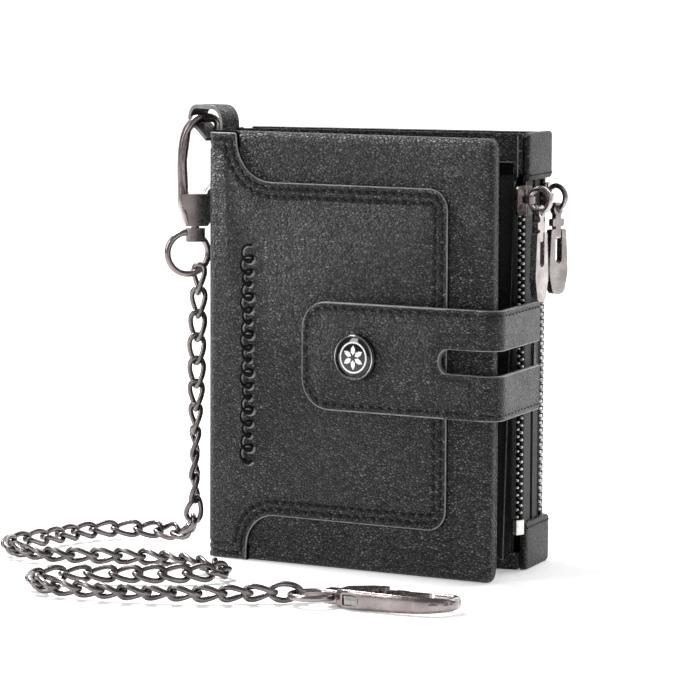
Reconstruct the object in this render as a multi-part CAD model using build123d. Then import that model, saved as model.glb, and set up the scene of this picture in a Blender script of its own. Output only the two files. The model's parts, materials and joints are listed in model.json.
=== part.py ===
from build123d import *
from math import cos, pi, radians, sin, tan
import os

# A bifold wallet on a chain, standing on its bottom edge and slightly ajar. Millimetres, +Z up.
# X runs from the spine to the open side, and the front cover faces -Y.
# The origin is under the middle of the zip pouches, on the surface that the wallet stands on.

# ---- Driving dimensions: wallet ----
COVER_HEIGHT = 124.0
COVER_WIDTH = 96.0
AJAR = 13.0                      # angle between the front cover and the pouches, degrees
LEATHER = 1.6                    # shell leather
THIN_LEATHER = 1.0               # overlays
FABRIC = 0.7                     # pouch lining
SPINE_X = -47.5                  # outer face of the spine
COVER_SPINE_Y = -17.8            # outer corner of the front cover at the spine
BLOCK_FRONT = -12.0
BLOCK_BACK = 11.0
BLOCK_LEFT = -42.0
BLOCK_SIDE = 45.0                # plane of the zip tapes
BLOCK_HEIGHT = 125.0
CAP_HEIGHT = 13.6                # leather over each end of the zips
FOLD_GAP = 1.3                   # from a leather fold's axis to the fixed leather beside it

# ---- Driving dimensions: strap ----
STRAP_LOW = 45.9
STRAP_HIGH = 77.0
SLOT_LOW = 58.7
SLOT_HIGH = 65.5
SLOT_START = 78.0                # distance from the spine, along the cover
TAB_END = 31.0
TAB_CREASE = 79.6                # where the tab bends when it is lifted
TAB_INNER = -2.0                 # inner face, in front of the cover's leather
STRAP_MID_X = 47.5
STRAP_ROOT_Y = -3.6
SNAP_U = 49.7
SNAP_Z = 61.7
SNAP_RADIUS = 6.5

# ---- Driving dimensions: zips ----
ZIP_A = (44.6, -12.4)            # the front zip lies on the block's corner
ZIP_B = (45.4, 5.6)
ZIP_A_TURN = -30.0               # it faces half forward, degrees
TOOTH_PITCH = 2.1
TEETH_LOW = 15.0
TEETH_HIGH = 111.0
SLIDER_Z = 106.3
RUNNING = 0.06                   # radial clearance of a pin in its hole

# ---- Driving dimensions: clasps and chain ----
RING_RADIUS = 6.1
RING_WIRE = 0.95
CLASP_WIRE = 1.3                 # half the height of the clasp's back
CLASP_HALF = 2.5                 # half the thickness of the clasp's base
GATE_HALF = 1.6
CHAIN_DIAMETER = 6.1
LOOP_THICK = 1.2
LOOP_WIDTH = 4.2

CHAIN_ROUTE = [
    (-54.9, -9.1, 79.4), (-55.9, -8.7, 53.2), (-56.6, -8.2, 25.6), (-56.9, -7.2, 11.6),
    (-61.0, -1.2, 4.2), (-68.2, 4.4, 3.2), (-78.4, 6.8, 3.2), (-88.4, 3.4, 3.2),
    (-94.8, -6.6, 3.2), (-98.2, -19.4, 3.2), (-103.2, -30.2, 3.2), (-102.4, -42.0, 3.2),
    (-93.2, -49.4, 3.2), (-80.2, -52.0, 3.2), (-66.2, -47.4, 3.2), (-52.4, -46.0, 3.2),
    (-39.6, -50.2, 3.2), (-29.6, -55.0, 3.2), (-25.8, -64.0, 3.2), (-33.6, -71.0, 3.2),
    (-46.4, -76.6, 3.2), (-59.4, -79.8, 3.2), (-68.2, -85.6, 3.2), (-69.8, -96.0, 3.2),
    (-63.2, -104.6, 3.2), (-51.4, -106.6, 3.2), (-38.0, -107.8, 3.2), (-24.6, -104.6, 3.2),
    (-13.2, -101.6, 3.2), (-5.4, -96.8, 3.2), (1.4, -92.9, 3.2),
]
END_CLASP_ORIGIN = (11.8, -88.6, 2.8)
END_CLASP_TURN = -8.0

COVER = Location((SPINE_X, COVER_SPINE_Y, 0), (0, 0, -AJAR))
parts = {}


def block(x0, x1, y0, y1, z0, z1):
    """A box from its lowest and highest corners."""
    size = (x1 - x0, y1 - y0, z1 - z0)
    return Pos((x0 + x1) / 2, (y0 + y1) / 2, (z0 + z1) / 2) * Box(*size)


def upright_panel(outline, y0, y1):
    """A panel from an outline in (x, z), from y0 to y1."""
    face = Plane.XZ * make_face(outline)
    return Pos(0, y1, 0) * extrude(face, y1 - y0)


def rounded_rectangle(x0, x1, z0, z1, radius):
    return Pos((x0 + x1) / 2, (z0 + z1) / 2) * RectangleRounded(x1 - x0, z1 - z0, radius)


def rounded_panel(x0, x1, z0, z1, radius, y0, y1):
    face = Plane.XZ * rounded_rectangle(x0, x1, z0, z1, radius)
    return Pos(0, y1, 0) * extrude(face, y1 - y0)


def rod(start, end, radius):
    """A cylinder between two points."""
    line = Line(start, end)
    return extrude(Plane(start, z_dir=line % 0) * Circle(radius), line.length)


def cover_point(u, y, z=0.0):
    """The place of a point given along the cover, inward from its leather, and up."""
    a = radians(AJAR)
    return (SPINE_X + u * cos(a) + y * sin(a), COVER_SPINE_Y - u * sin(a) + y * cos(a), z)


def fold_axis_u():
    """How far along the cover the strap's fold lies."""
    a = radians(AJAR)
    mid = TAB_INNER - LEATHER / 2
    return (STRAP_MID_X - SPINE_X - mid * sin(a)) / cos(a)


# ---- Front cover ----
def front_cover():
    """Shell leather of the front, turned round the fold into the spine."""
    far = COVER_WIDTH
    inner_fold = SPINE_X + LEATHER
    a = radians(AJAR)
    inner_u = (inner_fold - SPINE_X - LEATHER * sin(a)) / cos(a)
    outline = Polyline(
        cover_point(far, 0)[:2],
        cover_point(0, 0)[:2],
        (SPINE_X, -12.0),
        (inner_fold, -12.0),
        cover_point(inner_u, LEATHER)[:2],
        cover_point(far, LEATHER)[:2],
        close=True,
    )
    shell = extrude(make_face(outline), COVER_HEIGHT)
    shell = fillet(shell.edges().filter_by(Axis.Z).group_by(Axis.X)[0].sort_by(Axis.Y)[0], 1.5)
    corners = shell.edges().filter_by(lambda e: abs(e.length - LEATHER) < 0.01)
    corners = corners.filter_by(lambda e: e.center().X > BLOCK_SIDE - 2)
    shell = fillet(corners, 3.0)
    hole = COVER * Pos(SNAP_U, 0, SNAP_Z) * Rot(X=90) * Cylinder(1.5, 8)
    return shell - hole


def overlay_outline():
    """The sewn-on patch: full height at the spine, stepping in to a bracket round the middle."""
    start, right, low, high = 2.2, 80.6, 13.6, 110.2
    top, foot = COVER_HEIGHT - 0.6, 0.6
    points = [(start, foot), (12.8, foot), (13.4, low), (right, low), (right, high), (10.0, high), (9.2, top),
              (start, top)]
    radii = [0.4, 0.4, 9.0, 6.0, 6.0, 12.0, 0.4, 0.4]
    return FilletPolyline(*points, radius=radii, close=True)


def front_overlay():
    patch = upright_panel(overlay_outline(), -THIN_LEATHER, 0)
    patch -= Pos(SNAP_U, 0, SNAP_Z) * Rot(X=90) * Cylinder(1.5, 8)
    return COVER * patch


def cover_layer(u0, u1, z0, z1, y0, y1, hole=0.0):
    layer = rounded_panel(u0, u1, z0, z1, 2.0, y0, y1)
    if hole:
        layer -= Pos(SNAP_U, 0, SNAP_Z) * Rot(X=90) * Cylinder(hole, 20)
    return COVER * layer


def spine_panel():
    return block(SPINE_X, SPINE_X + LEATHER, -12.0, hinge_y() - FOLD_GAP, 0, COVER_HEIGHT)


def hinge_y():
    """The fold between the spine and the back cover."""
    return BLOCK_BACK - LEATHER / 2


def hinge_x():
    return SPINE_X + LEATHER / 2


parts["front_cover"] = front_cover()
parts["front_overlay"] = front_overlay()
parts["cover_stiffener"] = cover_layer(3.0, 94.4, 1.4, COVER_HEIGHT - 1.4, LEATHER, 2.9, 4.0)
parts["cover_lining"] = cover_layer(3.2, 94.4, 0.8, COVER_HEIGHT - 0.8, 2.9, 3.7)
for name, top, depth in (("upper", 104.0, 3.7), ("middle", 82.0, 4.3), ("lower", 60.0, 4.9)):
    parts["card_pocket_" + name] = cover_layer(12.0, 93.6, 2.0, top, depth, depth + 0.6)
parts["spine_panel"] = spine_panel()


def snap_stud():
    """Flange inside the cover, shank through it, low head in front."""
    stud = Pos(SNAP_U, 0.3, SNAP_Z) * Rot(X=90) * Cylinder(1.5, 2 * 1.3)
    stud += Pos(SNAP_U, 1.85, SNAP_Z) * Rot(X=90) * Cylinder(3.4, 0.5)
    stud += Pos(SNAP_U, -1.15, SNAP_Z) * Rot(X=90) * Cylinder(3.0, 0.3)
    return COVER * stud


parts["snap_stud"] = snap_stud()


# ---- Zip pouches ----
def pouch_front_panel():
    """Leather front of the pouches, cut back beside the front zip's tape."""
    edge, side = 38.2, BLOCK_SIDE - 0.4
    low, high = 5.0, BLOCK_HEIGHT - 11.6
    points = [(BLOCK_LEFT, 0.8), (side, 0.8), (side, low), (edge, low), (edge, high), (side, high),
              (side, BLOCK_HEIGHT), (BLOCK_LEFT, BLOCK_HEIGHT)]
    return upright_panel(Polyline(*points, close=True), BLOCK_FRONT, BLOCK_FRONT + 1.1)


def pouch(y0, y1):
    """A fabric pocket, open at the zip."""
    x0, x1 = BLOCK_LEFT + 0.4, 42.6
    z0, z1 = 1.0, BLOCK_HEIGHT - 1.0
    outside = block(x0, x1, y0, y1, z0, z1)
    inside = block(x0 + FABRIC, x1 + 1, y0 + FABRIC, y1 - FABRIC, z0 + FABRIC, z1 - FABRIC)
    return outside - inside


def back_cover():
    """Shell leather of the back, ending in the fold's axis at the spine."""
    plate = rounded_panel(hinge_x(), BLOCK_SIDE - 0.6, 0, BLOCK_HEIGHT, 2.0, BLOCK_BACK - LEATHER, BLOCK_BACK)
    square = block(hinge_x(), hinge_x() + 4, BLOCK_BACK - LEATHER, BLOCK_BACK, 0, COVER_HEIGHT)
    fold = Pos(hinge_x(), hinge_y(), COVER_HEIGHT / 2) * Cylinder(LEATHER / 2, COVER_HEIGHT)
    return plate + square + fold


def end_cap(z0, z1):
    """Leather over the ends of both zips, sewn between the front and back leather."""
    cap = block(BLOCK_SIDE - 0.3, BLOCK_SIDE + 1.3, BLOCK_FRONT + 1.6, BLOCK_BACK, z0, z1)
    return fillet(cap.edges().filter_by(Axis.Z).group_by(Axis.X)[-1], 1.2)


parts["pouch_front_panel"] = pouch_front_panel()
parts["inner_pocket_upper"] = rounded_panel(-39.0, 37.8, 2.0, 72.0, 2.0, BLOCK_FRONT - 0.6, BLOCK_FRONT)
parts["inner_pocket_lower"] = rounded_panel(-39.0, 37.8, 2.0, 50.0, 2.0, BLOCK_FRONT - 1.2, BLOCK_FRONT - 0.6)
parts["front_pouch"] = pouch(BLOCK_FRONT + 1.2, -3.2)
parts["pouch_divider"] = block(BLOCK_LEFT, 44.2, -3.1, -1.9, 0.8, BLOCK_HEIGHT - 0.8)
parts["rear_pouch"] = pouch(-1.8, 8.5)
parts["back_stiffener"] = block(BLOCK_LEFT, 44.0, 8.6, 9.3, 1.2, BLOCK_HEIGHT - 1.2)
parts["back_cover"] = back_cover()
parts["back_overlay"] = rounded_panel(-34.0, 38.0, 13.6, 110.2, 6.0, BLOCK_BACK, BLOCK_BACK + THIN_LEATHER)
parts["end_cap_top"] = end_cap(BLOCK_HEIGHT - CAP_HEIGHT + 0.2, BLOCK_HEIGHT)
parts["end_cap_bottom"] = end_cap(0, CAP_HEIGHT)
parts["pouch_base"] = block(BLOCK_LEFT, 43.8, BLOCK_FRONT + 1.2, 8.5, 0, 0.7)
parts["strap_anchor"] = block(44.4, 46.1, -3.0, -1.3, STRAP_LOW, STRAP_HIGH)


# ---- Zips ----
def zip_place(centre, turn):
    """Frame of a zip: local X outward, local Y across the teeth, local Z up."""
    return Location((centre[0], centre[1], 0), (0, 0, turn))


def comb(side):
    """One row of teeth: a thin bead with a tooth at each pitch."""
    inner, root, outer = 0.45, 1.0, 1.75
    half, z, tooth = 0.8, TEETH_LOW, TOOTH_PITCH / 2
    points = [(outer, z)]
    points.append((root, z))
    while z + TOOTH_PITCH < TEETH_HIGH:
        points += [(root, z + tooth / 2), (inner, z + tooth / 2)]
        points += [(inner, z + 1.5 * tooth), (root, z + 1.5 * tooth)]
        z += TOOTH_PITCH
    points += [(root, z), (outer, z)]
    points = [(side * y, z) for y, z in points]
    face = Plane.YZ * make_face(Polyline(*points, close=True))
    return Pos(-half, 0, 0) * extrude(face, 2 * half, dir=(1, 0, 0))


def teeth(centre, turn):
    return Compound(children=[zip_place(centre, turn) * comb(side) for side in (-1, 1)])


def stop(centre, turn):
    """The metal stop under the teeth."""
    clip = Box(2.0, 3.2, 4.2)
    clip = fillet(clip.edges().filter_by(Axis.Z), 0.6)
    return zip_place(centre, turn) * Pos(0.2, 0, TEETH_LOW - 2.4) * clip


parts["zip_a_teeth"] = teeth(ZIP_A, ZIP_A_TURN)
parts["zip_b_teeth"] = teeth(ZIP_B, 0)
parts["zip_a_stop"] = stop(ZIP_A, ZIP_A_TURN)
parts["zip_a_tape"] = Compound(children=[
    block(38.4, 42.2, BLOCK_FRONT, BLOCK_FRONT + 0.5, 5.2, 113.2),
    block(44.9, 45.3, -10.2, -3.3, CAP_HEIGHT + 0.2, BLOCK_HEIGHT - CAP_HEIGHT),
])
parts["zip_b_tape"] = Compound(children=[
    block(44.9, 45.3, -1.1, 3.8, CAP_HEIGHT + 0.2, BLOCK_HEIGHT - CAP_HEIGHT),
    block(44.9, 45.3, 7.4, 9.3, CAP_HEIGHT + 0.2, BLOCK_HEIGHT - CAP_HEIGHT),
])


PULL_RING = 3.3                  # radius of the ring's wire centre
PULL_WIRE = 0.8
PULL_PIN_DROP = 8.0              # from the ring's lowest wire to the tab's pin
TAB_WIDTH = 8.0
TAB_THICK = 2.0
RING_LOW = SLIDER_Z - PULL_RING
PIN_Z = RING_LOW - PULL_PIN_DROP
PULLS = {
    "a": {"zip": ZIP_A, "turn": ZIP_A_TURN, "wire": (47.2, -12.8), "swing": -10.0, "tip_z": STRAP_HIGH + 0.5},
    "b": {"zip": ZIP_B, "turn": 0.0, "wire": (47.6, 4.4), "swing": -25.0, "tip_z": STRAP_HIGH + 1.5},
}


def slider(centre, turn, wire):
    """Two plates round the teeth, a thin post between them, and an eye for the ring."""
    outer = Pos(1.45, 0, SLIDER_Z - 0.2) * Box(0.9, 6.0, 8.6)
    outer = fillet(outer.edges().filter_by(Axis.X), 1.6)
    inner = Pos(-1.45, 0, SLIDER_Z - 0.2) * Box(0.8, 2.6, 8.0)
    post = Pos(0, 0, SLIDER_Z + 3.4) * Box(3.0, 0.6, 1.2)
    body = zip_place(centre, turn) * (outer + inner + post)
    wire_x, y = wire
    eye = block(46.45, wire_x + 1.6, y - 1.5, y + 1.5, SLIDER_Z - 1.0, SLIDER_Z + 1.0)
    eye = fillet(eye.edges().filter_by(Axis.Z).group_by(Axis.X)[-1], 1.2)
    return body + eye - Pos(wire_x, y, SLIDER_Z) * Cylinder(PULL_WIRE + 0.25, 10)


# A pull is drawn with its ring's lowest point on the Z axis, and its tab facing +X.
def pull_ring():
    return Pos(0, 0, SLIDER_Z) * Rot(X=90) * Torus(PULL_RING, PULL_WIRE)


def pull_fork():
    """An eye round the ring, and a flat stem down to the pin."""
    eye = Pos(0, 0, RING_LOW) * Rot(Y=90) * Cylinder(1.9, 1.6)
    stem = block(-0.8, 0.8, -1.1, 1.1, PIN_Z, RING_LOW)
    foot = Pos(0, 0, PIN_Z) * Rot(X=90) * Cylinder(0.8, 2.2)
    shoulder = block(-0.8, 0.8, -2.4, 2.4, PIN_Z + 3.0, PIN_Z + 5.2)
    fork = eye + stem + foot + fillet(shoulder.edges().filter_by(Axis.X), 0.6)
    fork -= Pos(0, 0, RING_LOW) * Rot(Y=90) * Cylinder(PULL_WIRE + 0.25, 4)
    return fork - Pos(0, 0, PIN_Z) * Rot(X=90) * Cylinder(0.5 + RUNNING, 6)


def pull_tab(tip_z):
    """A tapered tab, rounded at its tip, slotted to take the fork."""
    head, half, waist = PIN_Z + 2.2, TAB_WIDTH / 2, TAB_WIDTH / 2 - 0.9
    outline = FilletPolyline(
        (-waist, head), (waist, head), (half, tip_z + 6.5), (half - 1.6, tip_z), (1.6 - half, tip_z),
        (-half, tip_z + 6.5), radius=[0.9, 0.9, 6.0, 2.0, 2.0, 6.0], close=True)
    face = Plane((-TAB_THICK / 2, 0, 0), x_dir=(0, 1, 0), z_dir=(1, 0, 0)) * make_face(outline)
    tab = extrude(face, TAB_THICK)
    slot = Pos(0, (head + 1 + PIN_Z - 7.6) / 2) * RectangleRounded(2.7, head + 1 - PIN_Z + 7.6, 1.3)
    cut = Plane((-TAB_THICK, 0, 0), x_dir=(0, 1, 0), z_dir=(1, 0, 0)) * slot
    tab -= extrude(cut, 2 * TAB_THICK)
    return tab - Pos(0, 0, PIN_Z) * Rot(X=90) * Cylinder(0.5, 20)


def pull_pin():
    return Pos(0, 0, PIN_Z) * Rot(X=90) * Cylinder(0.5, 2 * (TAB_WIDTH / 2 - 0.7))


for letter, pull in PULLS.items():
    wire_x, wire_y = pull["wire"]
    hang = Location((wire_x, wire_y, 0), (0, 0, pull["swing"])) * Pos(PULL_RING, 0, 0)
    parts["slider_" + letter] = slider(pull["zip"], pull["turn"], pull["wire"])
    parts["pull_ring_" + letter] = hang * pull_ring()
    parts["pull_fork_" + letter] = hang * pull_fork()
    parts["pull_tab_" + letter] = hang * pull_tab(pull["tip_z"])
    parts["pull_pin_" + letter] = hang * pull_pin()


# ---- Strap ----
def strap_side():
    """Two prongs along the open side, from the anchor to the fold in front of the cover."""
    fold_y = cover_point(fold_axis_u(), TAB_INNER - LEATHER / 2)[1]
    prongs = []
    for low, high in ((STRAP_LOW, SLOT_LOW), (SLOT_HIGH, STRAP_HIGH)):
        plate = block(STRAP_MID_X - 0.8, STRAP_MID_X + 0.8, fold_y + FOLD_GAP, STRAP_ROOT_Y, low, high)
        plate += Pos(STRAP_MID_X, STRAP_ROOT_Y, (low + high) / 2) * Cylinder(LEATHER / 2, high - low)
        prongs.append(plate)
    return Compound(children=prongs)


def strap_front():
    """The prongs in front of the cover, from the fold to the tab's crease."""
    u1 = fold_axis_u()
    prongs = []
    for low, high in ((STRAP_LOW, SLOT_LOW), (SLOT_HIGH, STRAP_HIGH)):
        plate = block(TAB_CREASE + FOLD_GAP, u1, TAB_INNER - LEATHER, TAB_INNER, low, high)
        end = Pos(u1, TAB_INNER - LEATHER / 2, (low + high) / 2) * Cylinder(LEATHER / 2, high - low)
        prongs.append(COVER * (plate + end))
    return Compound(children=prongs)


def strap_tab():
    """The free end of the strap, with the snap, and the closed end of the slot."""
    outline = FilletPolyline(
        (TAB_CREASE, STRAP_LOW), (TAB_CREASE, SLOT_LOW), (SLOT_START, SLOT_LOW), (SLOT_START, SLOT_HIGH),
        (TAB_CREASE, SLOT_HIGH), (TAB_CREASE, STRAP_HIGH), (TAB_END, STRAP_HIGH), (TAB_END, STRAP_LOW),
        radius=[0.1, 0.1, 0.7, 0.7, 0.1, 0.1, 6.0, 8.0], close=True)
    tab = upright_panel(outline, TAB_INNER - LEATHER, TAB_INNER)
    for low, high in ((STRAP_LOW, SLOT_LOW), (SLOT_HIGH, STRAP_HIGH)):
        middle = Pos(TAB_CREASE, TAB_INNER - LEATHER / 2, (low + high) / 2)
        tab += middle * Cylinder(LEATHER / 2, high - low)
    tab -= Pos(SNAP_U, 0, SNAP_Z) * Rot(X=90) * Cylinder(1.5, 20)
    return COVER * tab


def snap_disc_place(y):
    return Pos(SNAP_U, y, SNAP_Z) * Rot(X=90)


def snap_cap():
    """Metal cap: a shallow cup on the tab and its shank through the leather."""
    outer = TAB_INNER - LEATHER
    cup = snap_disc_place(outer - 0.75) * Cylinder(SNAP_RADIUS, 1.5)
    cup -= snap_disc_place(outer - 1.25) * Cylinder(SNAP_RADIUS - 0.9, 1.0)
    shank = snap_disc_place((outer + TAB_INNER) / 2) * Cylinder(1.5, LEATHER)
    return COVER * (cup + shank)


def snap_inlay():
    outer = TAB_INNER - LEATHER
    return COVER * snap_disc_place(outer - 1.1) * Cylinder(SNAP_RADIUS - 0.95, 0.7)


def snap_socket():
    ring = snap_disc_place(TAB_INNER + 0.2) * Cylinder(4.2, 0.4)
    return COVER * ring


parts["strap_side"] = strap_side()
parts["strap_front"] = strap_front()
parts["strap_tab"] = strap_tab()
parts["snap_cap"] = snap_cap()
parts["snap_inlay"] = snap_inlay()
parts["snap_socket"] = snap_socket()


# ---- Chain loop ----
LOOP_HOLE = (-55.0, -7.1)        # where the clasp passes through the loop's eye
LOOP_TURN = 151.0                # direction of the loop's length, degrees


def chain_loop():
    """A leather strip sewn inside the spine's top, doubled over into an eye outside it."""
    path = FilletPolyline(
        (-11.4, 124.3), (-10.0, 131.1), (3.0, 131.1), (4.8, 124.3), radius=[0.6, 2.4, 2.4, 2.0], close=True)
    outer = make_face(path)
    inner = offset(outer, -LOOP_THICK)
    eye = extrude(Plane.XZ * (outer - inner), LOOP_WIDTH / 2, both=True)
    eye = Location((LOOP_HOLE[0], LOOP_HOLE[1], 0), (0, 0, LOOP_TURN)) * eye
    legs = block(SPINE_X + LEATHER, -40.2, -13.8, -12.5, 112.0, 126.2)
    return eye + legs


parts["chain_loop"] = chain_loop()


# ---- Clasps: local X along the clasp from its ring, local Y towards the gate, local Z its thickness ----
GATE_PIN = (17.2, 5.0)
GATE_TIP = 31.2
AXIS_V = -1.0                    # the swivel post's offset from the clasp's middle


def clasp_ring():
    ring = Pos(0, AXIS_V - 2.2, 0) * Torus(RING_RADIUS, RING_WIRE)
    return ring - Pos(5.4, AXIS_V, 0) * Box(4.0, 5.4, 4.0)


def clasp_collar():
    """Barrel on the ring, with the post that turns in the clasp's base."""
    barrel = Pos(5.4, AXIS_V, 0) * Box(4.0, 5.4, 4.0)
    barrel = fillet(barrel.edges().filter_by(Axis.X), 0.9)
    post = Pos(9.5, AXIS_V, 0) * Rot(Y=90) * Cylinder(1.2, 5.0)
    return barrel + post


def clasp_body():
    """Base with the post's bore, the curved back, and the nose that the gate closes."""
    base = FilletPolyline(
        (8.0, AXIS_V - 3.2), (15.4, -5.6), (17.4, -5.6), (17.4, 2.4), (15.4, 6.2), (14.0, 6.2),
        (8.0, AXIS_V + 3.2), radius=[0.6, 1.0, 0.4, 0.4, 0.8, 0.6, 0.6], close=True)
    solid = Pos(0, 0, -CLASP_HALF) * extrude(make_face(base), 2 * CLASP_HALF)
    path = FilletPolyline(
        (15.0, -4.2), (27.0, -4.8), (36.0, -3.6), (39.6, -0.8), (39.6, 6.0), (32.6, 6.0),
        radius=[12.0, 3.6, 2.0, 2.2])
    back = sweep(Plane((15.0, -4.2, 0), x_dir=(0, 0, 1), z_dir=path % 0) * Ellipse(1.8, CLASP_WIRE), path)
    solid += back
    solid -= Pos(10.6, AXIS_V, 0) * Rot(Y=90) * Cylinder(1.2 + RUNNING, 6.0)
    ear = Pos(GATE_PIN[0], GATE_PIN[1], 0) * Cylinder(1.9, 2 * CLASP_HALF)
    lug = Pos(15.8, 4.2, 0) * Box(3.0, 4.0, 2 * CLASP_HALF)
    pocket = Pos(GATE_PIN[0] + 0.8, GATE_PIN[1], 0) * Box(6.4, 5.4, 2 * GATE_HALF + 0.3)
    return solid + lug + ear - pocket - Pos(GATE_PIN[0], GATE_PIN[1], 0) * Cylinder(0.6, 10)


def clasp_pin():
    return Pos(GATE_PIN[0], GATE_PIN[1], 0) * Cylinder(0.6, 2 * CLASP_HALF)


def clasp_gate():
    length = GATE_TIP - GATE_PIN[0]
    bar = Pos(GATE_PIN[0] + length / 2, GATE_PIN[1] + 0.4, 0) * Box(length, 1.9, 2 * GATE_HALF)
    bar += Pos(GATE_PIN[0], GATE_PIN[1] + 0.2, 0) * Cylinder(1.3, 2 * GATE_HALF)
    bar += Pos(GATE_PIN[0] + 5.0, GATE_PIN[1] + 1.6, 0) * Box(3.4, 1.4, 2 * GATE_HALF)
    return bar - Pos(GATE_PIN[0], GATE_PIN[1], 0) * Cylinder(0.6 + RUNNING, 10)


def clasp_spring():
    """The coil that shuts the gate, as its outer cylinder."""
    return rod((18.0, 1.4, 0), (20.6, 3.9, 0), 0.6)


CLASP_PIECES = {
    "ring": clasp_ring(), "collar": clasp_collar(), "body": clasp_body(),
    "pin": clasp_pin(), "gate": clasp_gate(), "spring": clasp_spring(),
}
HOOK_ORIGIN = Vector(-55.1, -9.0, 88.0)
HOOK_TURN = 35.0
hook_across = Vector(cos(radians(HOOK_TURN)), sin(radians(HOOK_TURN)), 0)
HOOK = Plane(HOOK_ORIGIN, x_dir=(0, 0, 1), z_dir=Vector(0, 0, 1).cross(hook_across))
END = Plane(END_CLASP_ORIGIN, x_dir=(cos(radians(END_CLASP_TURN)), sin(radians(END_CLASP_TURN)), 0))
for prefix, place in (("hook_", HOOK), ("end_", END)):
    for name, piece in CLASP_PIECES.items():
        parts[prefix + name] = place.location * piece


# ---- Chain ----
def route_radii(points, share=0.45):
    """The largest arc that each corner's two runs allow."""
    radii = []
    for before, here, after in zip(points, points[1:], points[2:]):
        first, second = Vector(*here) - Vector(*before), Vector(*after) - Vector(*here)
        turn = first.get_angle(second)
        radii.append(share * min(first.length, second.length) / tan(radians(turn) / 2))
    return radii


radii = route_radii(CHAIN_ROUTE)
print("chain radii", [round(r, 1) for r in radii])
chain_path = FilletPolyline(*CHAIN_ROUTE, radius=radii)
start = Plane(CHAIN_ROUTE[0], z_dir=chain_path % 0)
parts["chain"] = sweep(start * Circle(CHAIN_DIAMETER / 2), chain_path)
section = pi * (CHAIN_DIAMETER / 2) ** 2
ratio = parts["chain"].volume / section / chain_path.length
print("chain length", round(chain_path.length, 1), "volume ratio", round(ratio, 4))

os.makedirs("parts", exist_ok=True)
for name, part in parts.items():
    export_step(part, "parts/" + name + ".step")
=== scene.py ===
import json
import math
import random

import bmesh
import bpy
from mathutils import Matrix, Vector


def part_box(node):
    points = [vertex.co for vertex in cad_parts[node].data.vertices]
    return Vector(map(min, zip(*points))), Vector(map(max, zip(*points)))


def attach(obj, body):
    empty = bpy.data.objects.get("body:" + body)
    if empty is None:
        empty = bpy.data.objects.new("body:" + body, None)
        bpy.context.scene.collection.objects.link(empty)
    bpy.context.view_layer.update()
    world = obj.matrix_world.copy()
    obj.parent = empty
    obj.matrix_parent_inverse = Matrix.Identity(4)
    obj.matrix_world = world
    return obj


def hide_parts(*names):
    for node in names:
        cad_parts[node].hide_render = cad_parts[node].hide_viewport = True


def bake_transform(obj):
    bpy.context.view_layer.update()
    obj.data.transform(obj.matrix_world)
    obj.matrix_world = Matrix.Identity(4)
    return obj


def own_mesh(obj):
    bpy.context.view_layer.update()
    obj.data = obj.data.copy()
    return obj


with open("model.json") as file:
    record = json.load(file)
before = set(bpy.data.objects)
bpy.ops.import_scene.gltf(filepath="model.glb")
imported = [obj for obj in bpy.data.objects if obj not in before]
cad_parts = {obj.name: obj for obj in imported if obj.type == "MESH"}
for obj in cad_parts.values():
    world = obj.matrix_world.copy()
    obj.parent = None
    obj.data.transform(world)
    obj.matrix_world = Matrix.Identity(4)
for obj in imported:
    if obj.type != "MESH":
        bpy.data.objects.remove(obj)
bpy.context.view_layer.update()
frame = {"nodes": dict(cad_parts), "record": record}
dice = random.Random(7)

# Places and sizes are in millimetres, in the frame's own axes, until a mesh is made.
MM = 0.001
AJAR = math.radians(13.0)
SPINE = (-47.5, -17.8)  # outer corner of the front cover at the spine
COVER_HEIGHT = 124.0
BLOCK_HEIGHT = 125.0
STRAP_LOW, SLOT_LOW, SLOT_HIGH, STRAP_HIGH = 45.9, 58.7, 65.5, 77.0
SNAP = (52.2, 61.7)

# FRONT has the front cover's axes: X along it from the spine, -Y out of its face. TURNED faces the back.
FRONT = Matrix.Translation((SPINE[0], SPINE[1], 0)) @ Matrix.Rotation(-AJAR, 4, "Z")
TURNED = Matrix.Rotation(math.pi, 4, "Z")


# ---- Materials ----
def new_material(name):
    """A material, its shader, and two functions: one links a source to the shader, one adds a node."""
    material = bpy.data.materials.new(name)
    material.use_nodes = True
    tree = material.node_tree
    shader = tree.nodes["Principled BSDF"]

    def add(kind, links=(), **values):
        node = tree.nodes.new("ShaderNode" + kind)
        for key, value in values.items():
            key = key.replace("_", " ")
            if key in node.inputs:
                node.inputs[key].default_value = value
            else:
                setattr(node, key.replace(" ", "_"), value)
        for socket, source in dict(links).items():
            tree.links.new(source, node.inputs[socket])
        return node

    def feed(socket, source):
        tree.links.new(source, shader.inputs[socket])

    return material, shader, feed, add


def ramp(add, source, stops):
    """A colour ramp: stops are (position, grey or colour)."""
    node = add("ValToRGB", {"Fac": source})
    elements = node.color_ramp.elements
    while len(elements) < len(stops):
        elements.new(0.5)
    for element, (position, colour) in zip(elements, stops):
        element.position = position
        colour = (colour,) * 3 if isinstance(colour, (int, float)) else colour
        element.color = (*colour, 1)
    return node.outputs["Color"]


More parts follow.
